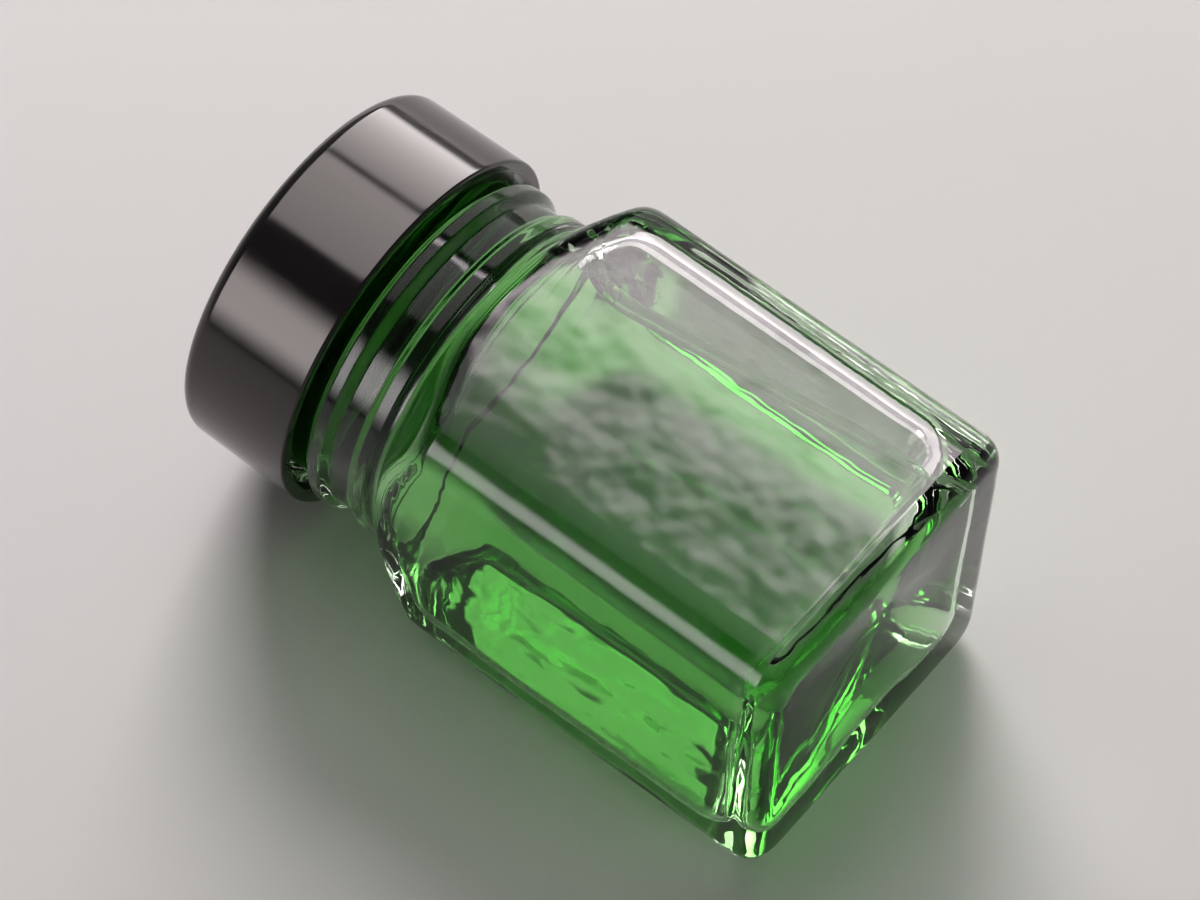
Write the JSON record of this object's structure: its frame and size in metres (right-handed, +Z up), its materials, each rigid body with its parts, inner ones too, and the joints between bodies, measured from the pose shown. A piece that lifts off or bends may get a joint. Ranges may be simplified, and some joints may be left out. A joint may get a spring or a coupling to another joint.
{
  "type": "wide-mouth tablet bottle",
  "caption": "Square clear glass wide-mouth bottle lying on its side, nearly full of green liquid, with a ringed round neck and a smooth black screw cap that unscrews and lifts off.",
  "frame": {"origin": "on the ground under the middle of the lying bottle's box", "axes": "+X along the lying bottle from the cap to the base, +Z up, +Y to the far long side; the bottle's own axis rises 1.52 degrees towards the cap"},
  "size_m": [0.0736, 0.041, 0.0411],
  "materials": {
    "clear_glass": "polished",
    "green_liquid": "gloss",
    "black_cap": "gloss",
    "pulpboard": "matte",
    "white_facing": "satin"
  },
  "bodies": {
    "bottle": {"glass_bottle": "clear_glass", "green_liquid": "green_liquid"},
    "facing": {"liner_facing": "white_facing"},
    "wad": {"liner_wad": "pulpboard"},
    "cap": {"screw_cap": "black_cap"}
  },
  "joints": [
    {"name": "cap_lift_off", "type": "slide", "parent": "bottle", "child": "facing", "axis": [-0.9996, 0, 0.0265], "range_m": [0, 0.03]},
    {"name": "cap_rise", "type": "slide", "parent": "facing", "child": "wad", "axis": [-0.9996, 0, 0.0265], "range_m": [0, 0.0053]},
    {"name": "cap_turn", "type": "hinge", "parent": "wad", "child": "cap", "pos_m": [-0.03395, 0, 0.02078], "axis": [-0.9996, 0, 0.0265], "range_deg": [0, 450]}
  ],
  "couplings": [
    {"joint": "cap_rise", "follows": "cap_turn", "m_per_rad": 0.00067375}
  ]
}
